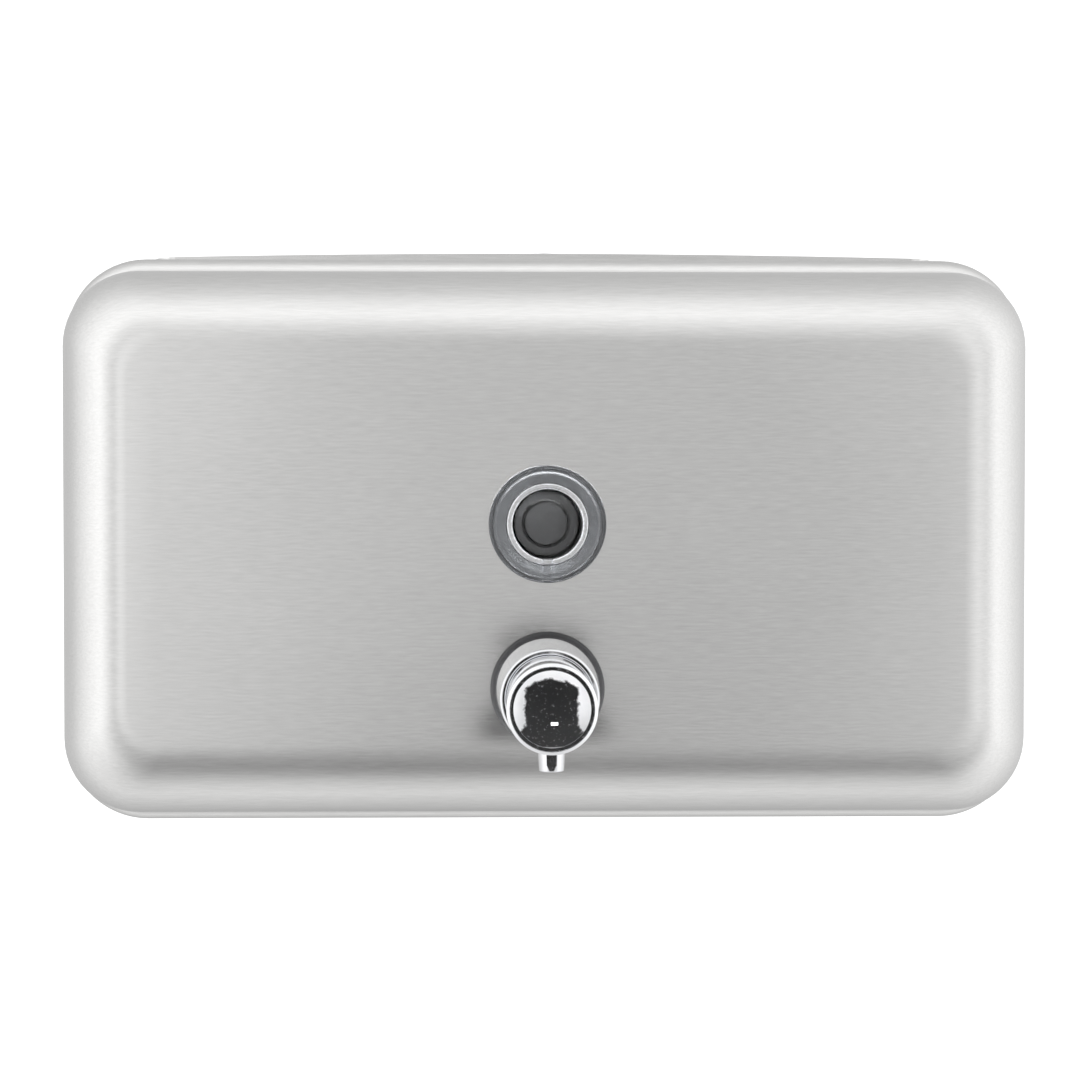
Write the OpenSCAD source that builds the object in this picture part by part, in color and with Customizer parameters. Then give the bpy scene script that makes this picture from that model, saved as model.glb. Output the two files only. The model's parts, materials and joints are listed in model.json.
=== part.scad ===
// Wall mounted soap dispenser: a horizontal sheet steel tank with a push valve,
// a round refill window and a hinged, locking filler lid.
// Origin: centre of the face that lies on the wall. +Z is up and -Y is out of the wall.
// All sizes are in millimetres.

/* [Body] */
// Width of the front pan
front_w = 205; // [170:1:260]
// Height of the front pan
front_h = 115.2; // [95:0.2:150]
// Distance from the wall to the front panel
body_depth = 70; // [58:1:100]
// Thickness of the body's sheet steel
sheet = 0.9; // [0.7:0.05:1.1]
// Radius of the front pan's rolled edge
roll_r = 16; // [8:0.5:17]
// Corner radius of the front pan's outline
front_corner = 16; // [14:0.5:24]
// Corner radius of the flat panel inside the rolled edge
panel_corner = 8; // [5:0.5:18]
// Distance from the wall to the front of the rear shell
shell_front = 46; // [42:1:48]
// Length of the front pan's skirt inside the rear shell
skirt_lap = 4; // [2:0.5:5]
// How far the rear shell stands out past the front pan at each side
rim_side = 1.9; // [1.5:0.1:4]
// How far the rear shell stands up past the front pan
rim_top = 3.9; // [3.2:0.1:6]
// How far the rear shell stands down past the front pan
rim_bottom = 3.3; // [1.5:0.1:5]
// Edge radius of the rear shell
shell_edge = 3.5; // [1.5:0.1:3.6]
// Corner radius of the rear shell's outline
shell_corner = 17.5; // [10:0.5:24]
// Gap from the wall to the rear shell's back edge
shell_wall_gap = 0.5; // [0.2:0.1:1]
// Distance from the wall to the tank's rear wall
tank_back = 7; // [7:0.5:10]

/* [Wall bracket] */
// Width of the wall bracket
bracket_w = 150; // [140:1:160]
// Height of the wall bracket's plate
bracket_h = 56; // [50:1:70]
// Thickness of the wall bracket
bracket_t = 1.5; // [1.2:0.1:1.6]
// Sideways spacing of the wall screws
screw_span_x = 120; // [100:1:126]
// Up and down spacing of the wall screws
screw_span_z = 36; // [30:1:40]
// Radius of the wall screw holes
screw_hole_r = 2.75; // [2:0.05:3.2]
// Width of each hook tongue
tongue_w = 30; // [15:1:40]
// Height at which the tank hangs on the tongues
hang_z = 25; // [22:0.5:30]
// Radius of the locking screw under the tank
lock_screw_r = 1.5; // [1.25:0.05:1.6]

/* [Filler lid] */
// Distance from the rear shell's side to the lid's end
lid_end_inset = 18.4; // [16:0.2:30]
// Distance from the rear shell's front to the lid's front edge
lid_front_inset = 5; // [4:0.5:6]
// Distance from the wall to the lid's rear edge
lid_rear = 7; // [7:0.1:8]
// Thickness of the lid's sheet
lid_sheet = 0.8; // [0.6:0.05:0.9]
// Rise of the lid's top from its ends to its middle
lid_crown = 1; // [0.4:0.1:1.2]
// Width of the filler opening
fill_w = 100; // [80:1:104]
// Depth of the filler opening from front to back
fill_d = 20; // [19:0.5:21]
// Distance from the wall to the middle of the filler opening
fill_out = 26; // [25.5:0.1:26.5]
// Radius of the lid's hinge pin
hinge_pin_r = 0.8; // [0.6:0.05:1]
// Length of the hinge
hinge_w = 80; // [60:1:110]

/* [Lock] */
// Radius of the lock's barrel
lock_r = 6; // [5.6:0.1:6.4]
// Radius of the turning core
core_r = 3.5; // [3:0.1:4]
// Length of the cam from the core's axis
cam_reach = 14; // [13.6:0.1:14.4]

/* [Refill window] */
// Height of the window above the valve
window_above_valve = 34; // [30:0.5:40]
// Radius of the window's flange
window_r = 12.1; // [10.5:0.1:14]
// Radius of the window's threaded shank
window_shank_r = 8.4; // [7:0.1:10]
// Wall between the window's shank and its recess
window_wall = 1.3; // [1.2:0.1:3]
// Length of the window's shank behind the flange
window_len = 16; // [12:0.5:20]

/* [Valve] */
// Height of the valve above the front pan's lower edge
valve_rise = 27.6; // [27:0.1:40]
// How far the soft ring reaches out past the collar
gasket_reach = 0.8; // [0.4:0.1:2.4]
// Wall of the collar at the panel
collar_base_wall = 2.4; // [2:0.1:2.8]
// Wall of the collar at its front edge
collar_tip_wall = 1.2; // [1.1:0.1:1.7]
// Length of the collar
collar_len = 20.8; // [20:0.1:22]
// Radius of the push button
button_r = 8.6; // [7.2:0.1:10.3]
// How far the button's rim stands out of the panel
button_out = 42; // [41.5:0.1:46]
// Rise of the button's domed face
dome_rise = 1.3; // [0.6:0.1:2]
// Travel of the push button
press_travel = 10; // [5:0.5:10.2]
// Wall of the pump's cylinder
pump_wall = 2.5; // [1.7:0.1:3.3]
// Radius of the valve's threaded shank
valve_shank_r = 7.5; // [7.2:0.1:9]
// Radius of the piston's hollow stem
stem_r = 2.5; // [2.2:0.05:2.8]
// Distance from the nozzle's axis back to the button's rim
nozzle_back = 6.5; // [6:0.1:6.6]
// Radius of the nozzle where it leaves the button
nozzle_r = 2.65; // [2.5:0.05:2.7]
// Length from the button's axis to the nozzle's tip
nozzle_drop = 12.3; // [12:0.1:16]
// Radius of the inlet valve's ball
ball_r = 2.4; // [2:0.05:2.5]
// Lift of the inlet valve's ball
ball_lift = 1.5; // [0.5:0.1:2]
// Gap from the suction tube's end to the tank's floor
tube_floor_gap = 3; // [2:0.5:5]

/* [Hidden] */

$fn = 96;
fit = 0.05;            // radial clearance of a part that turns or slides in another
seat_fit = 0.05;       // clearance round a part that is only seated
air = 0.3;             // clearance between moving parts that don't touch
eps = 0.1;             // thickness of the slab at each end of a hull
over = 1;              // how far a cut runs past the face it opens

// Body, in heights over the origin and distances out of the wall
rear_w = front_w + 2 * rim_side;
shell_top = front_h / 2 + rim_top;
shell_bottom = -front_h / 2 - rim_bottom;
shell_h = shell_top - shell_bottom;
shell_mid = (shell_top + shell_bottom) / 2;
tank_floor = shell_bottom + sheet;
back_edge = 2;         // edge radius of the tank's rear wall
skirt_end = shell_front - skirt_lap;
panel_back = body_depth - sheet;
roll_steps = 9;
corner_steps = 12;

// Wall bracket and hanger
bracket_corner = 4;
hanger_t = 1.2;
hanger_w = screw_span_x - 14;
tongue_x = 35;
tongue_back = bracket_t + air + hanger_t + air;
tongue_front = tongue_back + bracket_t;
tongue_foot = 10;
leg_foot = 14;
hanger_flange = 11;
screw_out = 3.3;
tab_z = shell_bottom + 4;
tab_w = 16;
tab_leg_w = 30;
tab_front = tank_back - sheet - air;

// Lid and hinge
lid_w = rear_w - 2 * lid_end_inset;
lid_front = shell_front - lid_front_inset;
lid_d = lid_front - lid_rear;
lid_base = shell_top + 0.1;
lid_top = shell_top + 0.6 + lid_crown;
lid_corner = 5;
lid_rim = 1;
crown_r = (pow(lid_w / 2, 2) + pow(lid_crown, 2)) / (2 * lid_crown);
crown_steps = 24;
hinge_out = lid_rear - 2.5;
knuckle_r = hinge_pin_r + 0.8;
hinge_z = shell_top + air + knuckle_r;
knuckles = 5;
knuckle_w = hinge_w / knuckles;
leaf_t = 0.8;
fill_corner = 4;
trim_t = 1;
trim_lip = 2;
trim_over = 0.3;
trim_under = 0.8;

// Lock
lock_flange_r = lock_r + 1.5;
lock_flange_t = 1;
lock_nut_r = lock_r + 2;
lock_nut_t = 2;
strike_t = 1;
strike_z = shell_top - sheet - 3;
strike_w = 16;
strike_front = fill_out + cam_reach + 1;
strike_rear = fill_out + fill_d / 2 + 0.5;
cam_t = 1.2;
cam_w = 7;
cam_top = strike_z - 0.2;
tail_r = 1.9;
cam_screw_r = 1;
key_slot = [5, 1.2, 2];

// Window
valve_z = valve_rise - front_h / 2;
window_z = valve_z + window_above_valve;
window_flange_t = 1.8;
window_seal_t = 0.8;
window_floor_t = 3;
window_nut_t = 4.5;
window_nut_r = window_shank_r + 3.6;
window_recess_r = window_shank_r - window_wall;
window_back = body_depth + window_seal_t - window_len;

// Valve: positions are distances out of the wall
collar_base_r = button_r + collar_base_wall;
collar_tip_r = button_r + collar_tip_wall;
gasket_r = collar_base_r + gasket_reach;
pump_bore_r = valve_shank_r - pump_wall;
gasket_t = 1.2;
washer_t = 1.2;
washer_r = valve_shank_r + 3.5;
valve_nut_t = 5;
valve_nut_r = valve_shank_r + 5;
collar_back = body_depth + gasket_t;
collar_front = collar_back + collar_len;
pump_flange_r = collar_base_r - 1;
pump_flange_t = 2;
guide_len = 5;
guide_back = collar_back + pump_flange_t - guide_len;
pump_len = 30;
pump_back = guide_back - pump_len;
piston_front = guide_back - air;
piston_len = 5;
piston_back = piston_front - piston_len;
seal_w = 2;
seal_groove_r = pump_bore_r - 1.2;
spigot_len = 4;
chamber_back = pump_back + spigot_len;
button_rim = body_depth + button_out;
button_wall = 1;
button_back = collar_back + pump_flange_t + press_travel + 1.8;
rim_round = 0.5;
dome_inset = 1.15;
dome_sphere_r = (pow(button_r - dome_inset, 2) + pow(dome_rise, 2)) / (2 * dome_rise);
head_front = button_rim - 2.5;
head_len = 9;
nozzle_out = button_rim - nozzle_back;
nozzle_tip_r = nozzle_r - 0.3;
port_r = 2.2;
stem_bore_r = 1.2;
lip_r = 1.75;
lip_len = 4.6;

// Inlet
elbow_out = pump_back - 8;
elbow_r = 5.5;
elbow_neck_r = 4.5;
elbow_flange_r = 7.5;
elbow_flange_t = 2;
elbow_top = 5;
elbow_drop = 13;
duct_r = 1.6;
ball_room_r = ball_r + 0.5;
seat_port_r = 1.5;
seat_len = 4;
seat_z = valve_z - elbow_drop + seat_len;
seat_flange_r = 4.5;
seat_flange_t = 1.5;
barb_r = 2.6;
barb_len = 5;
tube_wall = 1.15;
ball_z = seat_z + sqrt(pow(ball_r, 2) - pow(seat_port_r, 2)) + 0.05;
ball_stop_z = ball_z + ball_lift + sqrt(pow(ball_r, 2) - pow(duct_r, 2)) + 0.05;

// Spring
spring_wire_r = 0.35;
spring_r = pump_bore_r - 1.1;
spring_turns = 6;
spring_sides = 8;
spring_steps = 13;

// Rounded rectangle about the origin
module rounded_rect(w, h, r) {
    square([w - 2 * r, h], center = true);
    square([w, h - 2 * r], center = true);
    for (x = [-1, 1], y = [-1, 1])
        translate([x * (w / 2 - r), y * (h / 2 - r)]) circle(r);
}

// Turns local Z out of the wall, and leaves X across and Y up
module out_of_wall(out = 0, z = 0) {
    translate([0, -out, z]) rotate([90, 0, 0]) children();
}

// Tube of two radii and a length along local Z
module ring(outer, inner, len) {
    difference() {
        cylinder(r = outer, h = len);
        translate([0, 0, -over]) cylinder(r = inner, h = len + 2 * over);
    }
}

// Points of a rounded rectangle at one height, anticlockwise, with a fixed count at each corner
function outline(w, h, r, z) = [for (q = [0:3], k = [0:corner_steps])
    let (a = 90 * (q + k / corner_steps))
    [(q == 0 || q == 3 ? 1 : -1) * (w / 2 - r) + r * cos(a),
     (q < 2 ? 1 : -1) * (h / 2 - r) + r * sin(a), z]];

// One ring of a rolled pan's skin, at a share of the quarter turn from the panel to the skirt
function pan_ring(w, h, front, corner, flat_corner, roll, share) = let (
    turn = 90 * share,
    inset = roll * (1 - sin(turn)))
    outline(w - 2 * inset, h - 2 * inset, flat_corner + (corner - flat_corner) * sin(turn),
            front - roll * (1 - cos(turn)));

// Hollow pan, open at the back, whose rolled edge blends from the flat panel's corners to the
// outline's: one closed skin over the outside, round the back edge and back along the inside
module rolled_pan(w, h, back, front, corner, flat_corner, roll, wall) {
    in_w = w - 2 * wall;
    in_h = h - 2 * wall;
    rings = concat(
        [for (k = [0:roll_steps])
            pan_ring(w, h, front, corner, flat_corner, roll, k / roll_steps)],
        [outline(w, h, corner, back), outline(in_w, in_h, corner - wall, back)],
        [for (k = [roll_steps:-1:0])
            pan_ring(in_w, in_h, front - wall, corner - wall, flat_corner, roll - wall,
                     k / roll_steps)]);
    n = 4 * (corner_steps + 1);
    last = len(rings) - 1;
    polyhedron(
        points = [for (ring = rings) each ring],
        faces = concat(
            [[for (j = [n - 1:-1:0]) j], [for (j = [0:n - 1]) last * n + j]],
            [for (i = [0:last - 1], j = [0:n - 1])
                [i * n + j, i * n + (j + 1) % n, (i + 1) * n + (j + 1) % n]],
            [for (i = [0:last - 1], j = [0:n - 1])
                [i * n + j, (i + 1) * n + (j + 1) % n, (i + 1) * n + j]]));
}

// Quarter-round edge profile: x from 0 to depth, y from 0 to len, rounded at far x and y
module edge_profile(depth, len, edge) {
    square([depth - edge, len]);
    square([depth, len - edge]);
    translate([depth - edge, len - edge]) circle(edge);
}

// Block with rounded corners and a rounded front edge, built from meeting wedges
module edged_block(w, h, back, front, corner, edge) {
    len = front - back;
    translate([0, 0, back]) {
        linear_extrude(len - edge) rounded_rect(w, h, corner);
        linear_extrude(len) rounded_rect(w - 2 * edge, h - 2 * edge, corner - edge);
        for (side = [0, 1]) mirror([side, 0, 0]) {
            translate([w / 2 - corner, h / 2 - corner, 0]) rotate([90, 0, 0])
                linear_extrude(h - 2 * corner) edge_profile(corner, len, edge);
            for (end = [0, 1]) mirror([0, end, 0]) {
                translate([w / 2 - corner, h / 2 - corner, 0])
                    rotate_extrude(angle = 90) edge_profile(corner, len, edge);
            }
        }
        for (end = [0, 1]) mirror([0, end, 0])
            translate([-w / 2 + corner, h / 2 - corner, 0]) rotate([90, 0, 90])
                linear_extrude(w - 2 * corner) edge_profile(corner, len, edge);
    }
}

// Extrusion of the lid's plan from one height to another
module lid_plan(inset, from_z, to_z) {
    translate([0, -(lid_front + lid_rear) / 2, from_z])
        linear_extrude(to_z - from_z)
            rounded_rect(lid_w - 2 * inset, lid_d - 2 * inset, lid_corner - inset);
}

// Block under the crown's arc, whose highest line lies at the given height
module crown(top) {
    reach = lid_w / 2 + over;
    arc = [for (k = [0:crown_steps])
        let (x = reach * (2 * k / crown_steps - 1))
        [x, top - crown_r + sqrt(pow(crown_r, 2) - pow(x, 2))]];
    rotate([90, 0, 0]) linear_extrude(lid_front + over)
        polygon(concat([[-reach, shell_top - over]], arc, [[reach, shell_top - over]]));
}

// Knuckles of one leaf: the first lies at the hinge's end when first is 0
module hinge_knuckles(first) {
    for (k = [first:2:knuckles - 1])
        translate([-hinge_w / 2 + k * knuckle_w + (first == 0 ? 0 : fit * 4), -hinge_out, hinge_z])
            rotate([0, 90, 0]) cylinder(r = knuckle_r, h = knuckle_w - (first == 0 ? 0 : fit * 8));
}

module hinge_bore(clearance) {
    translate([-hinge_w / 2 - over, -hinge_out, hinge_z]) rotate([0, 90, 0])
        cylinder(r = hinge_pin_r + clearance, h = hinge_w + 2 * over);
}

module wall_bracket() color("gainsboro") {
    out_of_wall() linear_extrude(bracket_t) difference() {
        union() {
            rounded_rect(bracket_w, bracket_h, bracket_corner);
            translate([-tab_leg_w / 2, tab_z]) square([tab_leg_w, -tab_z]);
        }
        for (x = [-1, 1], z = [-1, 1])
            translate([x * screw_span_x / 2, z * screw_span_z / 2]) circle(screw_hole_r);
    }
    for (x = [-1, 1]) translate([x * tongue_x - tongue_w / 2, 0, 0]) {
        translate([0, -tongue_front, tongue_foot]) cube([tongue_w, tongue_front, bracket_t]);
        translate([0, -tongue_front, tongue_foot])
            cube([tongue_w, bracket_t, hang_z - tongue_foot]);
    }
    difference() {
        translate([-tab_w / 2, -tab_front, tab_z]) cube([tab_w, tab_front, bracket_t]);
        translate([0, -screw_out, tab_z - over])
            cylinder(r = lock_screw_r + seat_fit, h = bracket_t + 2 * over);
    }
}

module bracket_screw() color("silver") translate([0, -screw_out, 0]) {
    translate([0, 0, shell_bottom - 1.4]) difference() {
        cylinder(r = 2.9, h = 1.4);
        translate([-0.5, -over * 3, -over]) cube([1, over * 6, over + 0.7]);
    }
    translate([0, 0, shell_bottom]) cylinder(r = lock_screw_r, h = tab_z + bracket_t + 2 - shell_bottom);
}

module hanger() color("gainsboro") translate([-hanger_w / 2, 0, 0]) {
    translate([0, -bracket_t - air - hanger_t, leg_foot])
        cube([hanger_w, hanger_t, hang_z - leg_foot + hanger_t]);
    translate([0, -tank_back + sheet, hang_z])
        cube([hanger_w, tank_back - sheet - bracket_t - air, hanger_t]);
    translate([0, -tank_back + sheet, hang_z]) cube([hanger_w, hanger_t, hanger_flange]);
}

module back_plate() color("lightgray") difference() {
    out_of_wall(z = shell_mid) difference() {
        edged_block(rear_w - 2 * (sheet + seat_fit), shell_h - 2 * (sheet + seat_fit),
                    shell_wall_gap + 0.5, tank_back, shell_corner - sheet - seat_fit, back_edge);
        edged_block(rear_w - 2 * (2 * sheet + seat_fit), shell_h - 2 * (2 * sheet + seat_fit),
                    -over, tank_back - sheet, shell_corner - 2 * sheet - seat_fit, back_edge - sheet);
    }
    translate([0, -screw_out, tank_floor - over])
        cylinder(r = lock_screw_r + 0.15, h = sheet + 2 * over);
}

module rear_shell() color("lightgray") difference() {
    out_of_wall(z = shell_mid) difference() {
        edged_block(rear_w, shell_h, shell_wall_gap, shell_front, shell_corner, shell_edge);
        edged_block(rear_w - 2 * sheet, shell_h - 2 * sheet, -over, shell_front - sheet,
                    shell_corner - sheet, shell_edge - sheet);
    }
    out_of_wall(out = shell_front - 3 * sheet)
        linear_extrude(3 * sheet + over)
            rounded_rect(front_w + 2 * seat_fit, front_h + 2 * seat_fit, front_corner + seat_fit);
    translate([0, -fill_out, shell_top - 2 * sheet]) linear_extrude(2 * sheet + over)
        rounded_rect(fill_w, fill_d, fill_corner);
    translate([0, -screw_out, shell_bottom - over])
        cylinder(r = lock_screw_r + 0.15, h = sheet + 2 * over);
}

module front_shell() color("lightgray") out_of_wall() difference() {
    rolled_pan(front_w, front_h, skirt_end, body_depth, front_corner, panel_corner, roll_r, sheet);
    translate([0, valve_z, panel_back - over])
        cylinder(r = valve_shank_r + seat_fit, h = sheet + 2 * over);
    translate([0, window_z, panel_back - over])
        cylinder(r = window_shank_r + seat_fit, h = sheet + 2 * over);
}

module hinge_leaf() color("silver") difference() {
    union() {
        translate([-hinge_w / 2, -hinge_out + knuckle_r + air, shell_top])
            cube([hinge_w, hinge_out - knuckle_r - air - shell_wall_gap, leaf_t]);
        for (k = [0:2:knuckles - 1])
            translate([-hinge_w / 2 + k * knuckle_w, -hinge_out, shell_top])
                cube([knuckle_w, knuckle_r + air + leaf_t, leaf_t]);
        hinge_knuckles(0);
    }
    hinge_bore(seat_fit / 2);
}

module hinge_pin() color("silver")
    translate([-hinge_w / 2, -hinge_out, hinge_z]) rotate([0, 90, 0])
        cylinder(r = hinge_pin_r, h = hinge_w);

module filler_gasket() color("dimgray") translate([0, -fill_out, 0]) difference() {
    union() {
        translate([0, 0, shell_top]) linear_extrude(trim_over)
            rounded_rect(fill_w + 2 * trim_lip, fill_d + 2 * trim_lip, fill_corner + trim_lip);
        translate([0, 0, shell_top - sheet - trim_under])
            linear_extrude(sheet + trim_under) rounded_rect(fill_w, fill_d, fill_corner);
        translate([0, 0, shell_top - sheet - trim_under]) linear_extrude(trim_under)
            rounded_rect(fill_w + 2 * trim_lip, fill_d + 2 * trim_lip, fill_corner + trim_lip);
    }
    translate([0, 0, shell_top - sheet - trim_under - over])
        linear_extrude(sheet + trim_under + trim_over + 2 * over)
            rounded_rect(fill_w - 2 * trim_t, fill_d - 2 * trim_t, fill_corner - trim_t);
}

module lock_strike() color("silver") {
    translate([-strike_w / 2, -strike_front, strike_z])
        cube([strike_w, strike_front - strike_rear, strike_t]);
    for (x = [-strike_w / 2, strike_w / 2 - strike_t])
        translate([x, -strike_front, strike_z])
            cube([strike_t, strike_front - strike_rear - trim_lip, shell_top - sheet - strike_z]);
}

module sight_window() color("gray") out_of_wall(z = window_z) difference() {
    union() {
        translate([0, 0, window_back]) cylinder(r = window_shank_r, h = window_len);
        translate([0, 0, body_depth + window_seal_t]) rotate_extrude() {
            square([window_r - window_flange_t / 2, window_flange_t]);
            translate([window_r - window_flange_t / 2, window_flange_t / 2])
                intersection() {
                    circle(window_flange_t / 2);
                    translate([0, -window_flange_t]) square(2 * window_flange_t);
                }
        }
    }
    translate([0, 0, window_back + window_floor_t])
        cylinder(r = window_recess_r, h = window_len + over);
}

module window_gasket() color("dimgray")
    out_of_wall(body_depth, window_z) ring(window_r - 0.1, window_shank_r + seat_fit, window_seal_t);

module window_nut() color("dimgray") out_of_wall(panel_back - window_nut_t, window_z)
    difference() {
        cylinder(r = window_nut_r, h = window_nut_t, $fn = 6);
        translate([0, 0, -over])
            cylinder(r = window_shank_r + seat_fit, h = window_nut_t + 2 * over);
    }

module valve_gasket() color("dimgray")
    out_of_wall(body_depth, valve_z) ring(gasket_r, valve_shank_r + seat_fit, gasket_t);

module valve_collar() color("silver") out_of_wall(collar_back, valve_z) difference() {
    union() {
        cylinder(r1 = collar_base_r, r2 = collar_tip_r, h = collar_len - rim_round);
        cylinder(r = collar_tip_r - rim_round, h = collar_len);
        translate([0, 0, collar_len - rim_round])
            rotate_extrude() translate([collar_tip_r - rim_round, 0]) circle(rim_round);
    }
    translate([0, 0, -over]) cylinder(r = button_r + fit, h = collar_len + 2 * over);
    translate([0, 0, -over])
        cylinder(r = pump_flange_r + seat_fit, h = pump_flange_t + over);
}

module valve_cylinder() color("dimgray") out_of_wall(0, valve_z) difference() {
    union() {
        translate([0, 0, collar_back]) cylinder(r = pump_flange_r, h = pump_flange_t);
        translate([0, 0, pump_back]) cylinder(r = valve_shank_r, h = collar_back - pump_back);
    }
    translate([0, 0, pump_back - over]) cylinder(r = pump_bore_r, h = pump_len + over);
    translate([0, 0, guide_back - over]) cylinder(r = stem_r + fit, h = guide_len + 2 * over);
}

module valve_washer() color("dimgray")
    out_of_wall(panel_back - washer_t, valve_z) ring(washer_r, valve_shank_r + seat_fit, washer_t);

module valve_nut() color("dimgray")
    out_of_wall(panel_back - washer_t - valve_nut_t, valve_z) difference() {
        cylinder(r = valve_nut_r, h = valve_nut_t, $fn = 6);
        translate([0, 0, -over])
            cylinder(r = valve_shank_r + seat_fit, h = valve_nut_t + 2 * over);
    }

module suction_elbow() color("dimgray") difference() {
    union() {
        out_of_wall(0, valve_z) {
            translate([0, 0, pump_back]) cylinder(r = pump_bore_r - seat_fit, h = spigot_len);
            translate([0, 0, pump_back - elbow_flange_t])
                cylinder(r = elbow_flange_r, h = elbow_flange_t);
            translate([0, 0, elbow_out]) cylinder(r = elbow_neck_r, h = pump_back - elbow_out);
        }
        translate([0, -elbow_out, valve_z - elbow_drop])
            cylinder(r = elbow_r, h = elbow_drop + elbow_top);
    }
    out_of_wall(elbow_out, valve_z) cylinder(r = duct_r, h = chamber_back - elbow_out + over);
    translate([0, -elbow_out, valve_z - elbow_drop - over])
        cylinder(r = ball_room_r, h = ball_stop_z - valve_z + elbow_drop + over);
    translate([0, -elbow_out, valve_z - elbow_drop]) cylinder(r = duct_r, h = elbow_drop + duct_r);
}

module inlet_seat() color("silver") translate([0, -elbow_out, 0]) difference() {
    union() {
        translate([0, 0, seat_z - seat_len]) cylinder(r = ball_room_r - seat_fit, h = seat_len);
        translate([0, 0, seat_z - seat_len - seat_flange_t])
            cylinder(r = seat_flange_r, h = seat_flange_t);
        translate([0, 0, seat_z - seat_len - seat_flange_t - barb_len])
            cylinder(r = barb_r, h = barb_len);
    }
    translate([0, 0, seat_z - seat_len - seat_flange_t - barb_len - over])
        cylinder(r = seat_port_r, h = seat_len + seat_flange_t + barb_len + 2 * over);
}

module inlet_ball() color("silver") translate([0, -elbow_out, ball_z]) sphere(ball_r);

module suction_tube() color("white")
    translate([0, -elbow_out, tank_floor + tube_floor_gap])
        ring(barb_r + seat_fit + tube_wall, barb_r + seat_fit,
             seat_z - seat_len - seat_flange_t - tank_floor - tube_floor_gap);

// Point on the spring's wire: step along the coil and side round the wire
function coil_point(step, side) = let (
    turn = 360 * step / spring_steps,
    a = 360 * side / spring_sides,
    len = piston_back - chamber_back - 2 * spring_wire_r,
    rise = chamber_back + spring_wire_r + len * step / (spring_steps * spring_turns))
    [(spring_r + spring_wire_r * cos(a)) * cos(turn),
     (spring_r + spring_wire_r * cos(a)) * sin(turn),
     rise + spring_wire_r * sin(a)];

module return_spring() color("silver") out_of_wall(0, valve_z) {
    rings = spring_steps * spring_turns;
    polyhedron(
        points = [for (i = [0:rings], j = [0:spring_sides - 1]) coil_point(i, j)],
        faces = concat(
            [[for (j = [0:spring_sides - 1]) j]],
            [for (i = [0:rings - 1], j = [0:spring_sides - 1])
                let (n = (j + 1) % spring_sides)
                [i * spring_sides + j, (i + 1) * spring_sides + j,
                 (i + 1) * spring_sides + n, i * spring_sides + n]],
            [[for (j = [spring_sides - 1:-1:0]) rings * spring_sides + j]]));
}

module push_button() color("silver") difference() {
    out_of_wall(0, valve_z) difference() {
        union() {
            translate([0, 0, button_back]) rotate_extrude() {
                square([button_r, button_rim - button_back - rim_round]);
                square([button_r - rim_round, button_rim - button_back]);
                translate([button_r - rim_round, button_rim - button_back - rim_round])
                    circle(rim_round);
            }
            intersection() {
                translate([0, 0, button_rim - over])
                    cylinder(r = button_r - dome_inset, h = dome_rise + 2 * over);
                translate([0, 0, button_rim + dome_rise - dome_sphere_r]) sphere(dome_sphere_r);
            }
        }
        translate([0, 0, button_back - over])
            cylinder(r = button_r - button_wall, h = head_front - button_back + over);
    }
    translate([0, -nozzle_out, valve_z - button_r - over])
        cylinder(r = port_r + seat_fit, h = button_r);
}

module piston_stem() color("silver") difference() {
    out_of_wall(0, valve_z) difference() {
        union() {
            translate([0, 0, head_front - head_len])
                cylinder(r = button_r - button_wall - seat_fit, h = head_len);
            translate([0, 0, piston_back]) cylinder(r = stem_r, h = head_front - piston_back);
            ring_w = (piston_len - seal_w) / 2;
            for (w = [piston_back, piston_front - ring_w])
                translate([0, 0, w]) cylinder(r = pump_bore_r - fit, h = ring_w);
            translate([0, 0, piston_back]) cylinder(r = seal_groove_r, h = piston_len);
        }
        translate([0, 0, piston_back - over])
            cylinder(r = stem_bore_r, h = nozzle_out - piston_back + over);
    }
    translate([0, -nozzle_out, valve_z - button_r]) cylinder(r = port_r + seat_fit, h = button_r);
}

module piston_seal() color("dimgray")
    out_of_wall((piston_front + piston_back - seal_w) / 2, valve_z)
        ring(pump_bore_r - 0.6 * fit, seal_groove_r, seal_w);

module nozzle() color("silver") difference() {
    translate([0, -nozzle_out, valve_z]) {
        difference() {
            translate([0, 0, -nozzle_drop])
                cylinder(r1 = nozzle_tip_r, r2 = nozzle_r, h = nozzle_drop - button_r + 1.5);
            rotate([90, 0, 0])
                translate([0, 0, -button_r]) cylinder(r = button_r + 0.02, h = 2 * button_r);
        }
        translate([0, 0, -nozzle_drop + 1]) cylinder(r = port_r, h = nozzle_drop - 3);
    }
    translate([0, -nozzle_out, valve_z - nozzle_drop - over])
        cylinder(r = lip_r - 0.45, h = nozzle_drop + over);
    translate([0, -nozzle_out, valve_z - nozzle_drop - over])
        cylinder(r = lip_r, h = lip_len + over + 0.2);
}

module outlet_valve() color("dimgray")
    translate([0, -nozzle_out, valve_z - nozzle_drop + 0.2]) difference() {
        union() {
            translate([0, 0, lip_len - 1.6]) cylinder(r = lip_r - 0.03, h = 1.6);
            hull() {
                translate([0, 0, lip_len - 1.6]) cylinder(r = lip_r - 0.25, h = eps, $fn = 32);
                translate([-1.3, -0.3, 0]) cube([2.6, 0.6, eps]);
            }
        }
        translate([0, 0, lip_len - 1.4]) cylinder(r = lip_r - 0.6, h = 1.6);
        translate([-0.8, -0.06, -over]) cube([1.6, 0.12, lip_len]);
    }

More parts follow.
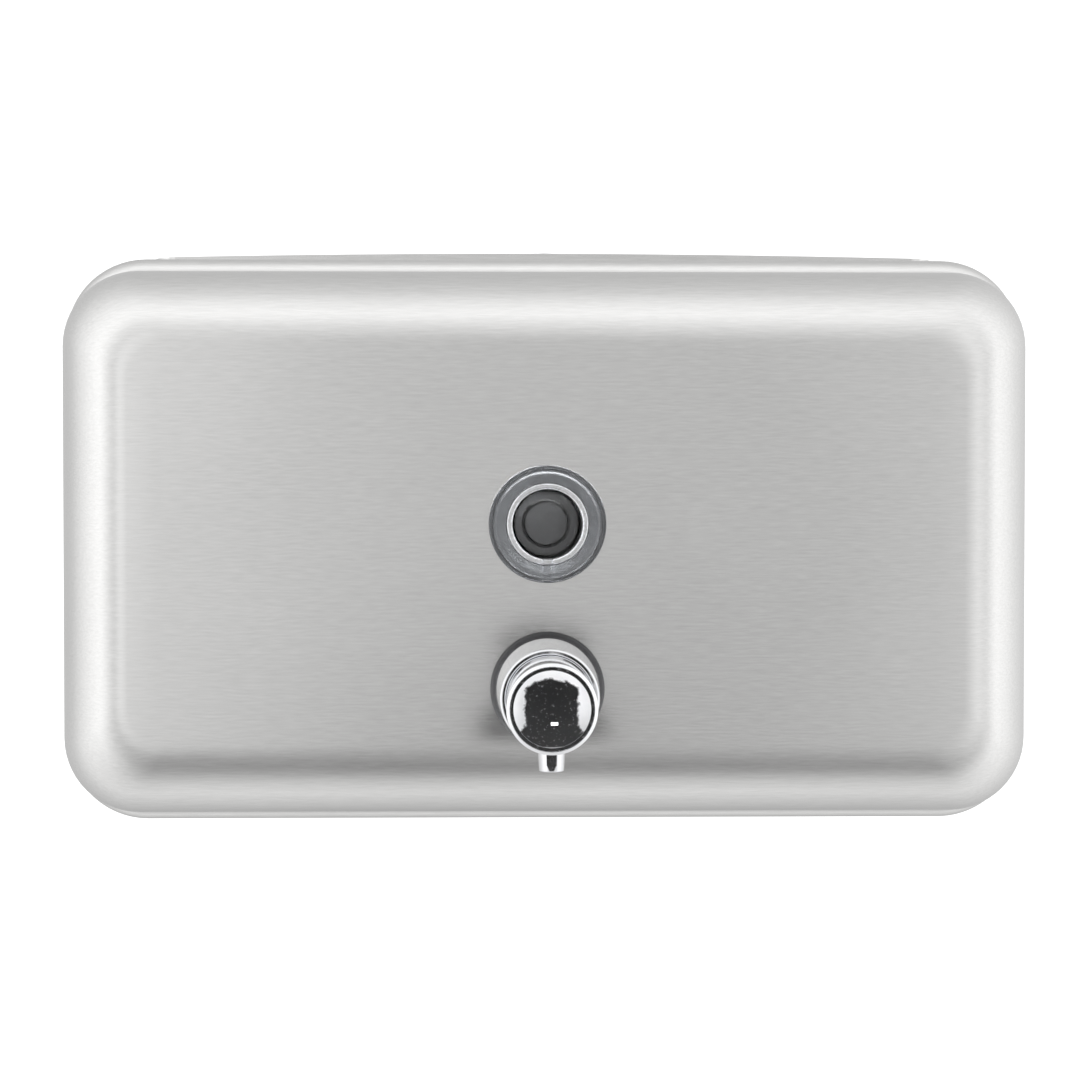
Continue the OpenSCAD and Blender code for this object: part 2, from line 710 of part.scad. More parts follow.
module filler_lid() color("lightgray") difference() {
    union() {
        difference() {
            intersection() {
                lid_plan(0, lid_base, lid_top + over);
                crown(lid_top);
            }
            intersection() {
                lid_plan(lid_rim, lid_base - over, lid_top);
                crown(lid_top - lid_sheet);
            }
        }
        for (k = [1:2:knuckles - 1])
            translate([-hinge_w / 2 + k * knuckle_w + fit * 4, -lid_rear - lid_rim / 2,
                       lid_top - lid_sheet - 0.05])
                cube([knuckle_w - fit * 8, lid_rear + lid_rim / 2 - hinge_out, lid_sheet]);
        hinge_knuckles(1);
    }
    hinge_bore(fit);
    translate([0, -fill_out, lid_base - over]) cylinder(r = lock_r + seat_fit, h = 4 * over);
}

module lock_body() color("silver") translate([0, -fill_out, 0]) difference() {
    union() {
        translate([0, 0, lid_top]) cylinder(r = lock_flange_r, h = lock_flange_t);
        translate([0, 0, cam_top + 0.6]) cylinder(r = lock_r, h = lid_top - cam_top - 0.6);
    }
    translate([0, 0, cam_top - over])
        cylinder(r = core_r + fit, h = lid_top + lock_flange_t - cam_top + 2 * over);
}

module lock_nut() color("silver")
    translate([0, -fill_out, lid_top - lid_sheet - 0.02 - lock_nut_t]) difference() {
        cylinder(r = lock_nut_r, h = lock_nut_t, $fn = 6);
        translate([0, 0, -over]) cylinder(r = lock_r + seat_fit, h = lock_nut_t + 2 * over);
    }

module lock_core() color("gray") translate([0, -fill_out, 0]) difference() {
    union() {
        translate([0, 0, cam_top]) cylinder(r = core_r, h = lid_top + lock_flange_t - cam_top);
        translate([0, 0, cam_top - cam_t]) cylinder(r = tail_r, h = cam_t);
    }
    translate([-key_slot[0] / 2, -key_slot[1] / 2, lid_top + lock_flange_t - key_slot[2]])
        cube([key_slot[0], key_slot[1], key_slot[2] + over]);
    translate([0, 0, cam_top - cam_t - over])
        cylinder(r = cam_screw_r + seat_fit, h = cam_t + over + 2.2);
}

module lock_cam() color("silver") translate([0, -fill_out, cam_top - cam_t])
    linear_extrude(cam_t) difference() {
        union() {
            circle(cam_w / 2);
            translate([0, -cam_w / 2]) square([cam_reach, cam_w]);
        }
        circle(tail_r + seat_fit);
    }

module cam_screw() color("silver") translate([0, -fill_out, cam_top - cam_t]) {
    translate([0, 0, -1.2]) cylinder(r = tail_r + 0.9, h = 1.2);
    cylinder(r = cam_screw_r, h = cam_t + 2);
}

wall_bracket();
bracket_screw();
hanger();
back_plate();
rear_shell();
front_shell();
hinge_leaf();
hinge_pin();
filler_gasket();
lock_strike();
sight_window();
window_gasket();
window_nut();
valve_collar();
valve_gasket();
valve_cylinder();
valve_washer();
valve_nut();
suction_elbow();
inlet_seat();
inlet_ball();
suction_tube();
return_spring();
push_button();
piston_stem();
piston_seal();
nozzle();
outlet_valve();
filler_lid();
lock_body();
lock_nut();
lock_core();
lock_cam();
cam_screw();
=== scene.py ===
import json
import math

import bmesh
import bpy
import numpy as np
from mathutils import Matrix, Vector


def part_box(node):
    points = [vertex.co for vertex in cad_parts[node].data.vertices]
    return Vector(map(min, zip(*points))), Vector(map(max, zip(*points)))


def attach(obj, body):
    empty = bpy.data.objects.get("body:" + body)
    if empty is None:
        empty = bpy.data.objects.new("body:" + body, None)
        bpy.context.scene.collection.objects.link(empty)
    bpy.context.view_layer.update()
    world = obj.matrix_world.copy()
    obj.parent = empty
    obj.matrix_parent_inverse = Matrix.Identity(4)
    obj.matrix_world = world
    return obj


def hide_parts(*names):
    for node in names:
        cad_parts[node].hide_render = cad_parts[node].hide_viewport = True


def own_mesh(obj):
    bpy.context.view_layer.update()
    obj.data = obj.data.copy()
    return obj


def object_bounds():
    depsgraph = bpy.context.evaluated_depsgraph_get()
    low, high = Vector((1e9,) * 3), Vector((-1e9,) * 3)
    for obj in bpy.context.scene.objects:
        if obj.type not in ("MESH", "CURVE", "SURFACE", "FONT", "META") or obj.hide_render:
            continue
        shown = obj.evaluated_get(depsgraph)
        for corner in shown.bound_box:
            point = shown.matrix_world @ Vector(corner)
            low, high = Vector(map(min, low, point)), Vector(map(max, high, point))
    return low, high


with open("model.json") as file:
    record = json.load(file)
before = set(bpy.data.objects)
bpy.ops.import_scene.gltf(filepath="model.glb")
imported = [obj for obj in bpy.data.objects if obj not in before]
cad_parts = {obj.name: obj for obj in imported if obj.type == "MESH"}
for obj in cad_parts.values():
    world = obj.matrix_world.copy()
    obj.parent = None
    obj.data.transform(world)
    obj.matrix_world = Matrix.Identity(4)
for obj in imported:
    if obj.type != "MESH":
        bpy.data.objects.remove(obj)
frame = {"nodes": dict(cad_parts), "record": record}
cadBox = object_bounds()
slotOf = {s["node"]: s["material_slot"] for s in frame["record"]["subparts"]}
print("frame loaded:", len(frame["nodes"]), "nodes")

mm = 0.001
axisZ = (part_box("push_button")[0].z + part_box("push_button")[1].z) / 2  # height of the valve's axis
windowZ = (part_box("sight_window")[0].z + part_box("sight_window")[1].z) / 2

cameraPlace = {"eye": (-9.3, -490.0, 9.0), "turnRight": 1.06, "turnDown": 1.13, "lens": 67.9}


def placeCamera(place):
    data = bpy.data.cameras.new("camera")
    data.lens = place["lens"]
    data.sensor_width = 36.0
    data.clip_start, data.clip_end = 0.01, 50.0
    eye = bpy.data.objects.new("camera", data)
    bpy.context.scene.collection.objects.link(eye)
    eye.location = Vector(place["eye"]) * mm
    right, down = math.radians(place["turnRight"]), math.radians(place["turnDown"])
    ahead = Vector((math.sin(right), math.cos(right) * math.cos(down), -math.sin(down)))
    eye.rotation_mode = "QUATERNION"
    eye.rotation_quaternion = ahead.to_track_quat("-Z", "Y")
    bpy.context.scene.camera = eye


placeCamera(cameraPlace)
print("camera placed")


class Wire:  # one value socket that takes part in sums
    def __init__(self, paint, socket):
        self.paint, self.socket = paint, socket

    def sum(self, operation, first, second):
        made = self.paint.node("Math", {"operation": operation}, i0=first, i1=second)
        return Wire(self.paint, made.outputs[0])

    def __add__(self, other):
        return self.sum("ADD", self, other)

    def __radd__(self, other):
        return self.sum("ADD", other, self)

    def __sub__(self, other):
        return self.sum("SUBTRACT", self, other)

    def __rsub__(self, other):
        return self.sum("SUBTRACT", other, self)

    def __mul__(self, other):
        return self.sum("MULTIPLY", self, other)

    def __rmul__(self, other):
        return self.sum("MULTIPLY", other, self)

    def __truediv__(self, other):
        return self.sum("DIVIDE", self, other)

    def __pow__(self, other):
        return self.sum("POWER", self, other)


class Paint:  # one material or world, and its nodes
    def __init__(self, owner):
        owner.use_nodes = True
        self.owner, self.tree = owner, owner.node_tree
        self.tree.nodes.clear()

    def node(self, kind, settings=None, **sockets):
        made = self.tree.nodes.new("ShaderNode" + kind)
        for key, value in (settings or {}).items():
            if key == "stops":
                ramp = made.color_ramp
                while len(ramp.elements) < len(value):
                    ramp.elements.new(0.5)
                for element, (place, tone) in zip(ramp.elements, value):
                    element.position = place
                    element.color = (tone, tone, tone, 1) if isinstance(tone, float) else tone
            else:
                setattr(made, key, value)
        for key, value in sockets.items():
            place = made.inputs[int(key[1:])] if key[0] == "i" and key[1:].isdigit() \
                else made.inputs[key.replace("_", " ")]
            if isinstance(value, Wire):
                self.tree.links.new(value.socket, place)
            else:
                place.default_value = value
        return made

    def wire(self, made, output=0):
        return Wire(self, made.outputs[output])

    def objectPlace(self, scale=(1, 1, 1), location=(0, 0, 0)):  # place on the object, in metres
        source = self.node("TexCoord")
        mapped = self.node("Mapping", {"vector_type": "POINT"}, i0=self.wire(source, "Object"),
                           i1=location, i3=scale)
        return self.wire(mapped)

    def noise(self, place, scale=1.0, detail=2.0, roughness=0.5):
        made = self.node("TexNoise", {"noise_dimensions": "3D"}, Vector=place, Scale=scale,
                         Detail=detail, Roughness=roughness)
        return self.wire(made, "Fac")

    def ramp(self, value, stops):  # value re-read through straight pieces
        made = self.node("ValToRGB", {"stops": stops}, Fac=value)
        return self.wire(made, "Color")

    def blendColour(self, amount, first, second):
        made = self.node("Mix", {"data_type": "RGBA"}, i0=amount, i6=first, i7=second)
        return self.wire(made, 2)

    def bump(self, height, strength, distance):
        made = self.node("Bump", Height=height, Strength=strength, Distance=distance)
        return self.wire(made)

    def finish(self, **sockets):
        shader = self.node("BsdfPrincipled", **sockets)
        self.node("OutputMaterial", Surface=self.wire(shader))
        return self.owner


def newPaint(name):
    return Paint(bpy.data.materials.new(name))


satinLook = {
    "tint": (0.80, 0.797, 0.79, 1), "shade": (0.70, 0.697, 0.69, 1),
    "roughness": 0.20, "streak": 0.05, "contrast": 1.9,
    "grainStrength": 0.10, "grainDepth": 0.00003,
    "fine": (2600.0, 240.0), "fineShare": 0.8,  # repeats a metre across and along the brushing
    "long": (1300.0, 60.0), "longShare": 0.2,
    "cloud": 18.0, "cloudTone": 0.8, "cloudGloss": 0.05,
}


def satinSteel(name, look, along=0):
    # the roughness and a shallow bump. A broad noise clouds the tone and the gloss.
    paint = newPaint(name)
    def drawnOut(scales):
        return tuple(scales[1] if axis == along else scales[0] for axis in range(3))
    grain = paint.noise(paint.objectPlace(drawnOut(look["fine"])), 1.0, 3.0, 0.6)
    streak = paint.noise(paint.objectPlace(drawnOut(look["long"]), (3.1, 1.7, 0.4)), 1.0, 2.0, 0.5)
    cloud = paint.noise(paint.objectPlace((look["cloud"],) * 3, (0.3, 0.8, 2.2)), 1.0, 2.0, 0.5)
    mix = grain * look["fineShare"] + streak * look["longShare"]
    mix = 0.5 + look["contrast"] * (mix - 0.5)
    colour = paint.blendColour(mix + look["cloudTone"] * (cloud - 0.5), look["shade"], look["tint"])
    rough = look["roughness"] + look["streak"] * (mix - 0.5) + look["cloudGloss"] * (cloud - 0.5)
    return paint.finish(Base_Color=colour, Metallic=1.0, Roughness=rough,
                        Normal=paint.bump(mix, look["grainStrength"], look["grainDepth"]))


chromeLook = {"tint": (0.90, 0.905, 0.92, 1), "smear": (0.82, 0.83, 0.86, 1), "roughness": 0.03,
              "smearScale": 160.0, "smearRough": 0.04, "hair": (900.0, 9000.0, 900.0),
              "hairRough": 0.02}


def polishedChrome(name, look):
    # Bright plating: almost a mirror, with a faint smear of fingerprints and hair scratches.
    paint = newPaint(name)
    smear = paint.noise(paint.objectPlace((look["smearScale"],) * 3), 1.0, 3.0, 0.6)
    hair = paint.noise(paint.objectPlace(look["hair"], (0.2, 0.5, 0.9)), 1.0, 2.0, 0.5)
    soft = paint.ramp(smear, [(0.42, 0.0), (0.75, 1.0)])
    rough = look["roughness"] + look["smearRough"] * soft + look["hairRough"] * hair
    return paint.finish(Base_Color=paint.blendColour(soft, look["tint"], look["smear"]),
                        Metallic=1.0, Roughness=rough,
                        Normal=paint.bump(hair, 0.04, 0.00001))


rubberLook = {"tone": (0.018, 0.018, 0.02, 1), "dust": (0.05, 0.05, 0.052, 1), "roughness": 0.62}


def mattRubber(name, look):
    # Moulded rubber: dark, dusty in patches, with a fine pebble in the bump.
    paint = newPaint(name)
    dust = paint.noise(paint.objectPlace((420.0, 420.0, 420.0)), 1.0, 4.0, 0.6)
    pebble = paint.noise(paint.objectPlace((5200.0, 5200.0, 5200.0)), 1.0, 1.0, 0.5)
    return paint.finish(Base_Color=paint.blendColour(dust, look["tone"], look["dust"]),
                        Roughness=look["roughness"] + 0.2 * (dust - 0.5),
                        Normal=paint.bump(pebble, 0.25, 0.00003))


plasticLook = {"tone": (0.20, 0.205, 0.215, 1), "light": (0.27, 0.275, 0.285, 1), "roughness": 0.42}


def mouldedPlastic(name, look):
    # Moulded plastic: soft flow marks in the tone, a fine spark-eroded grain in the bump.
    paint = newPaint(name)
    flow = paint.noise(paint.objectPlace((60.0, 60.0, 140.0)), 1.0, 3.0, 0.6)
    grain = paint.noise(paint.objectPlace((3800.0, 3800.0, 3800.0)), 1.0, 1.0, 0.5)
    return paint.finish(Base_Color=paint.blendColour(flow, look["tone"], look["light"]),
                        Roughness=look["roughness"] + 0.12 * (flow - 0.5),
                        Normal=paint.bump(grain, 0.15, 0.00002))


def millSteel(name, look):
    # Plain rolled sheet and turned parts: grey, with rolling streaks and cloudy gloss.
    paint = newPaint(name)
    roll = paint.noise(paint.objectPlace((700.0, 700.0, 30.0)), 1.0, 3.0, 0.6)
    cloud = paint.noise(paint.objectPlace((90.0, 90.0, 90.0)), 1.0, 3.0, 0.6)
    return paint.finish(Base_Color=paint.blendColour(cloud, look["tone"], look["light"]),
                        Metallic=1.0,
                        Roughness=look["roughness"] + 0.15 * (cloud - 0.5) + 0.08 * (roll - 0.5),
                        Normal=paint.bump(roll, 0.08, 0.00002))


clearLook = {"tint": (0.83, 0.84, 0.85, 1), "haze": (0.75, 0.76, 0.77, 1),
             # the lip's tone is a painted reflection: the lip is laid on as bright metal
             "lip": (0.9, 0.91, 0.93, 1), "hazeScale": 260.0, "ringScale": 3000.0,
             "roughness": 0.03, "hazeRough": 0.05, "sharpness": 4.0,
             "lipInner": 7.15, "lipOuter": 8.35, "lipBack": 71.6,
             # painted shade: the dark tone painted on the flange's rim, and the radius it starts from
             "edge": (0.20, 0.205, 0.215, 1), "paintedShadeFrom": 11.7}


def clearPlastic(name, look):
    # Clear moulding: glass with a little haze where it has been wiped. Its lip carries a painted
    # reflection: it is painted as bright metal in place of the light the clear lip throws back, so
    # the share of metal is 1 where the distance from the axis lies between the lip's two radii and
    # the place is in front of the lip's back, broken by fine rings. Beyond the edge's radius the
    # plastic is painted dark, a painted shade in place of the dark rim where the light runs along
    # the flange.
    paint = newPaint(name)
    haze = paint.noise(paint.objectPlace((look["hazeScale"],) * 3), 1.0, 3.0, 0.6)
    parts = paint.node("SeparateXYZ", i0=paint.objectPlace((1 / mm,) * 3, (0, 0, -windowZ / mm)))
    x, y, z = (paint.wire(parts, k) for k in range(3))
    reach = (x * x + z * z) ** 0.5
    def above(value, edge):
        return paint.ramp((value - edge) * look["sharpness"] + 0.5, [(0.0, 0.0), (1.0, 1.0)])
    rings = paint.ramp(paint.noise(paint.objectPlace((look["ringScale"],) * 3), 1.0, 1.0, 0.5),
                       [(0.25, 0.55), (0.6, 1.0)])
    # painted reflection: where this mask is 1 the clear lip is painted as bright metal
    lip = above(reach, look["lipInner"]) * above(-1 * reach, -look["lipOuter"]) \
        * above(-1 * y, look["lipBack"]) * rings
    # painted shade: beyond the rim's radius the clear plastic is painted dark
    plain = paint.blendColour(above(reach, look["paintedShadeFrom"]),
                              paint.blendColour(haze, look["tint"], look["haze"]), look["edge"])
    # the painted reflection's mask sets the lip's tone and its share of metal
    return paint.finish(Base_Color=paint.blendColour(lip, plain, look["lip"]), Metallic=lip,
                        Roughness=look["roughness"] + look["hazeRough"] * haze,
                        Transmission_Weight=1.0, IOR=1.49)


def sheenSeal(name, look):
    # Smooth seal seen through the clear flange: a dull grey metallic sheen in cloudy patches.
    paint = newPaint(name)
    cloud = paint.noise(paint.objectPlace((300.0, 300.0, 300.0)), 1.0, 3.0, 0.6)
    return paint.finish(Base_Color=paint.blendColour(cloud, look["tone"], look["light"]),
                        Metallic=1.0, Roughness=look["roughness"] + 0.1 * (cloud - 0.5))


finishes = {
    "satin_steel": satinSteel("satinSteel", satinLook),
    "plain_steel": millSteel("millSteel", {"tone": (0.46, 0.46, 0.47, 1),
                                           "light": (0.60, 0.60, 0.61, 1), "roughness": 0.34}),
    "chrome": polishedChrome("polishedChrome", chromeLook),
    "clear_plastic": clearPlastic("clearWindow", clearLook),
    "black_rubber": mattRubber("blackRubber", rubberLook),
    "grey_plastic": mouldedPlastic("greyPlastic", plasticLook),
    "clear_tube": mouldedPlastic("milkyTube", {"tone": (0.62, 0.63, 0.61, 1),
                                               "light": (0.74, 0.75, 0.73, 1), "roughness": 0.3}),
    "spring_steel": millSteel("springWire", {"tone": (0.40, 0.40, 0.41, 1),
                                             "light": (0.55, 0.55, 0.56, 1), "roughness": 0.25}),
}
paleSeal = sheenSeal("paleSeal", {"tone": (0.25, 0.255, 0.265, 1), "light": (0.33, 0.335, 0.345, 1),
                                  "roughness": 0.22})
print("finishes made:", len(finishes) + 1)


def layMesh(name, grids, material, sharp=32.0, weld=2e-6):
    # grids: (points as rows x columns x 3, rows closed, columns closed), all put in one mesh
    points, faces, start = [], [], 0
    for grid, closeRows, closeColumns in grids:
        rows, columns = grid.shape[:2]
        i = np.arange(rows if closeRows else rows - 1)[:, None]
        j = np.arange(columns if closeColumns else columns - 1)[None, :]
        nextI, nextJ = (i + 1) % rows, (j + 1) % columns
        quads = np.stack([i * columns + j, i * columns + nextJ,
                          nextI * columns + nextJ, nextI * columns + j], axis=-1)
        points.append(grid.reshape(-1, 3))
        faces.append(quads.reshape(-1, 4) + start)
        start += rows * columns
    mesh = bpy.data.meshes.new(name)
    mesh.from_pydata(np.concatenate(points), [], np.concatenate(faces).tolist())
    work = bmesh.new()
    work.from_mesh(mesh)
    bmesh.ops.remove_doubles(work, verts=work.verts, dist=weld)
    bmesh.ops.dissolve_degenerate(work, edges=work.edges, dist=weld / 4)
    work.to_mesh(mesh)
    work.free()
    mesh.shade_smooth()
    mesh.set_sharp_from_angle(angle=math.radians(sharp))
    mesh.materials.append(material)
    made = bpy.data.objects.new(name, mesh)
    bpy.context.scene.collection.objects.link(made)
    return made


def faceOutwards(made):  # turns a closed skin's faces so that its volume counts as positive
    work = bmesh.new()
    work.from_mesh(made.data)
    if work.calc_volume(signed=True) < 0:
        bmesh.ops.reverse_faces(work, faces=work.faces)
        work.to_mesh(made.data)
    work.free()
    return made


def softPath(corners, steps=6):
    # corners: (radius, place, fillet). Each corner with a fillet becomes an arc that touches
    # both sides; each side keeps a close pair of points at its ends so that it shades flat.
    places = np.array([c[:2] for c in corners], float)
    path = []
    for k, (r, w, fillet) in enumerate(corners):
        here = places[k]
        if fillet <= 0 or k in (0, len(corners) - 1):
            path.append(here[None])
            continue
        back, ahead = places[k - 1] - here, places[k + 1] - here
        back, ahead = back / np.linalg.norm(back), ahead / np.linalg.norm(ahead)
        half = math.acos(max(-1, min(1, float(back @ ahead)))) / 2
        reach = fillet / math.tan(half)
        centre = here + (back + ahead) / np.linalg.norm(back + ahead) * fillet / math.sin(half)
        first, last = here + back * reach - centre, here + ahead * reach - centre
        t = np.linspace(0, 1, steps + 1)[:, None]
        sweep = math.pi - 2 * half
        arc = (np.sin((1 - t) * sweep) * first + np.sin(t * sweep) * last) / math.sin(sweep)
        guard = min(0.05, reach * 0.3)
        path += [(here + back * (reach + guard))[None], centre + arc,
                 (here + ahead * (reach + guard))[None]]
    return np.concatenate(path)


def turnedGrid(path, height, across=96, closed=False):
    # Surface of revolution about a line out of the wall: x = r cos a, z = height + r sin a,
    # y = -place. The path is (r, place) in millimetres.
    a = np.linspace(0, 2 * math.pi, across, endpoint=False)[None, :]
    r, w = path[:, :1], path[:, 1:2]
    grid = np.stack([r * np.cos(a), -w + 0 * a, r * np.sin(a) + height / mm], axis=-1) * mm
    return grid, closed, True


def roundedOutline(w, h, corner, arc=14, side=26, tall=16):
    # Rounded rectangle, anticlockwise from the right side's lower end: four arcs of the given
    # corner radius joined by sides that are split evenly.
    w, h = w / 2, h / 2
    t = np.linspace(0, math.pi / 2, arc + 1)
    pieces = []
    sides = [(1, 1, side), (-1, 1, tall), (-1, -1, side), (1, -1, tall)]
    for k, (sx, sz, count) in enumerate(sides):
        turn = t + k * math.pi / 2
        bend = np.stack([sx * (w - corner) + corner * np.cos(turn),
                         sz * (h - corner) + corner * np.sin(turn)], axis=-1)
        nextSx, nextSz = [(-1, 1), (-1, -1), (1, -1), (1, 1)][k]
        end = turn[-1]
        target = np.array([nextSx * (w - corner) + corner * math.cos(end),
                           nextSz * (h - corner) + corner * math.sin(end)])
        s = np.linspace(0, 1, count + 1)[1:-1, None]
        pieces += [bend, bend[-1] * (1 - s) + target * s]
    return np.concatenate(pieces)


frontPan = {"width": 205.0, "height": 115.2, "roll": 16.0, "outerCorner": 16.0,
            "panelCorner": 8.0, "front": 70.0, "back": 42.0, "sheet": 0.9,
            "windowHole": 8.45, "panelRings": 14, "rollRings": 26}


def buildFrontPan(size):
    # Rings from the window's hole to the flat panel's edge, then a quarter-round roll whose
    # inset is roll * (1 - sin t) and depth roll * (1 - cos t) while its corner radius goes
    # from the panel's to the outline's, then the straight skirt. A close pair of rings at each
    # open edge keeps the shading flat up to it.
    def ring(inset, depth, corner):
        outline = roundedOutline(size["width"] - 2 * inset, size["height"] - 2 * inset, corner)
        return np.column_stack([outline[:, 0], np.full(len(outline), depth - size["front"]),
                                outline[:, 1]])
    edge = ring(size["roll"], 0.0, size["panelCorner"])
    middle = np.array([0.0, -size["front"], windowZ / mm])
    out = edge - middle
    hole = middle + out / np.linalg.norm(out, axis=1)[:, None] * size["windowHole"]
    guard = middle + out / np.linalg.norm(out, axis=1)[:, None] * (size["windowHole"] + 0.06)
    s = np.linspace(0, 1, size["panelRings"])[:, None, None]
    panel = np.concatenate([hole[None], guard[None] * (1 - s) + edge[None] * s])
    turns = np.linspace(0, math.pi / 2, size["rollRings"])[1:]
    roll = np.stack([ring(size["roll"] * (1 - math.sin(t)), size["roll"] * (1 - math.cos(t)),
                          size["panelCorner"] + (size["outerCorner"] - size["panelCorner"])
                          * math.sin(t)) for t in turns])
    last = size["front"] - size["back"]
    depths = np.append(np.linspace(size["roll"], last - 0.06, 6)[1:], last)
    skirt = np.stack([ring(0.0, d, size["outerCorner"]) for d in depths])
    made = layMesh("frontPan", [(np.concatenate([panel, roll, skirt])[:, ::-1] * mm, False, True)],
                   finishes["satin_steel"], sharp=60)
    wall = made.modifiers.new("sheet", "SOLIDIFY")
    wall.thickness, wall.offset = size["sheet"] * mm, -1.0
    return made


pan = buildFrontPan(frontPan)
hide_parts("front_shell")
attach(pan, "tank")
print("front pan built")


refillWindow = {"flange": 12.1, "shank": 8.4, "recess": 7.1, "front": 72.6, "seat": 70.8,
                "back": 54.8, "floor": 57.8, "pitch": 1.5, "thread": 0.45, "lip": 8.3,
                "lipStep": 0.35, "groove": 11.0, "grooveDepth": 0.25, "slotHalf": 1.1,
                "slotDepth": 0.9, "ridge": (4.5, 4.8, 5.2), "ridgeRise": 0.25, "threadStart": 0.8}


def buildWindow(size):
    # Closed cup of revolution with a lip round its mouth, a flange a step behind the lip and a
    # shallow ring groove near the flange's edge; the shank's radius also falls and rises with
    # place / pitch - angle / 2pi, which makes its thread. A slot runs down across the flange:
    # its depth is full where |x| is under the half width and fades over a quarter of a
    # millimetre.
    across = 256
    a = np.linspace(0, 2 * math.pi, across, endpoint=False)[None, :]
    groove, front = size["groove"], size["front"] - size["lipStep"]
    inner, crest, outer = size["ridge"]
    rim = softPath([(0.0, size["floor"], 0), (inner, size["floor"], 0.1),
                    (crest, size["floor"] + size["ridgeRise"], 0.1), (outer, size["floor"], 0.1),
                    (size["recess"], size["floor"], 0.6),
                    (size["recess"], size["front"], 0.5), (size["lip"], size["front"], 0.35),
                    (size["lip"] + 0.15, front, 0.15), (groove - 0.5, front, 0.1),
                    (groove - 0.2, front - size["grooveDepth"], 0.15),
                    (groove + 0.2, front - size["grooveDepth"], 0.15),
                    (groove + 0.5, front, 0.1), (size["flange"], front, 0.5),
                    (size["flange"], size["seat"], 0.3), (size["shank"], size["seat"], 0)])
    cuts = np.linspace(0, 1, 9)[1:-1, None]
    wide = int(np.argmax(rim[:, 0] > size["lip"] + 0.3))
    rim = np.concatenate([rim[:wide + 1], rim[wide] * (1 - cuts) + rim[wide + 1] * cuts,
                          rim[wide + 1:]])
    r = rim[:, :1] + 0 * a
    ahead = np.clip((rim[:, 1:2] - size["seat"] - 0.8) / 0.3, 0, 1)
    slot = (np.clip((size["slotHalf"] - np.abs(r * np.cos(a))) / 0.25, 0, 1) * (np.sin(a) < 0)
            * np.clip((r - size["recess"] + 0.1) / 0.2, 0, 1)
            * np.clip((size["flange"] - 0.4 - r) / 0.3, 0, 1))
    w = rim[:, 1:2] - size["slotDepth"] * slot * ahead
    head = np.stack([r * np.cos(a), -w, r * np.sin(a) + windowZ / mm], axis=-1) * mm
    w = np.linspace(size["seat"], size["back"], 100)[:, None]
    turn = w / size["pitch"] - a / (2 * math.pi)
    start = size["threadStart"]
    fade = np.clip((size["seat"] - start - w) / start, 0, 1)
    fade = fade * np.clip((w - size["back"]) / start, 0, 1)
    r = size["shank"] - size["thread"] * fade * (0.5 + 0.5 * np.cos(2 * math.pi * turn))
    shank = np.stack([r * np.cos(a), -w + 0 * a, r * np.sin(a) + windowZ / mm], axis=-1) * mm
    base = turnedGrid(np.array([[size["shank"], size["back"]], [0.0, size["back"]]]),
                      windowZ, across)[0]
    made = layMesh("clearWindowCup", [(np.concatenate([head, shank[1:], base[1:]]), False, True)],
                   finishes["clear_plastic"])
    return faceOutwards(made)


cup = buildWindow(refillWindow)
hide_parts("sight_window")
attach(cup, "tank")


def buildRing(name, outer, inner, back, front, height, material, fillet=0.3):
    # Closed ring of revolution whose section is a rectangle with rounded corners.
    mid = (back + front) / 2
    path = softPath([(outer, mid, 0), (outer, front, fillet), (inner, front, fillet / 2),
                     (inner, back, fillet / 2), (outer, back, fillet), (outer, mid, 0)])[:-1]
    return faceOutwards(layMesh(name, [turnedGrid(path, height, 128, closed=True)], material))


sealDish = {"outer": 12.0, "inner": 8.45, "back": 70.0, "front": 70.8, "sunk": 0.2}


def buildDish(size):
    # Ring of revolution whose front face sinks towards its outer edge.
    path = softPath([
        (size["outer"], size["back"] + 0.2, 0), (size["outer"], size["front"] - size["sunk"], 0.08),
        (size["inner"], size["front"], 0.1), (size["inner"], size["back"], 0.1),
        (size["outer"], size["back"], 0.1), (size["outer"], size["back"] + 0.2, 0)])[:-1]
    skin = turnedGrid(path, windowZ, 160, closed=True)
    return faceOutwards(layMesh("windowSeal", [skin], paleSeal))


windowSeal = buildDish(sealDish)
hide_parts("window_gasket")
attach(windowSeal, "tank")
print("refill window built")


valve = {"sealOuter": 11.8, "sealInner": 7.55, "panel": 70.0, "sealFront": 71.2,
         "collarBase": 11.0, "collarTip": 9.8, "collarFront": 92.0, "collarBore": 8.65,
         "seatBore": 10.05, "seatDepth": 73.2, "button": 8.6, "buttonBack": 85.0,
         "rim": 112.0, "dome": 1.3, "face": 7.2, "bead": 7.88, "notch": 0.25, "fall": 0.45,
         "bore": 7.6, "boreEnd": 109.5}

valveSeal = buildRing("valveSeal", valve["sealOuter"], valve["sealInner"], valve["panel"],
                      valve["sealFront"], axisZ, finishes["black_rubber"], 0.5)
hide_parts("valve_gasket")
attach(valveSeal, "tank")


def buildCollar(size):
    # Tapered sleeve of revolution, closed round its wall, with a rolled bead at its front edge.
    path = softPath([
        (size["seatBore"], size["sealFront"], 0), (size["collarBase"], size["sealFront"], 0.25),
        (size["collarBase"], size["sealFront"] + 1.2, 0.3),
        (size["collarTip"], size["collarFront"], 0.5),
        (size["collarBore"], size["collarFront"], 0.2),
        (size["collarBore"], size["seatDepth"], 0.1), (size["seatBore"], size["seatDepth"], 0.1),
        (size["seatBore"], size["sealFront"], 0)])[:-1]
    return faceOutwards(layMesh("valveSleeve", [turnedGrid(path, axisZ, 160, closed=True)],
                                finishes["chrome"]))


sleeve = buildCollar(valve)
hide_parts("valve_collar")
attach(sleeve, "tank")


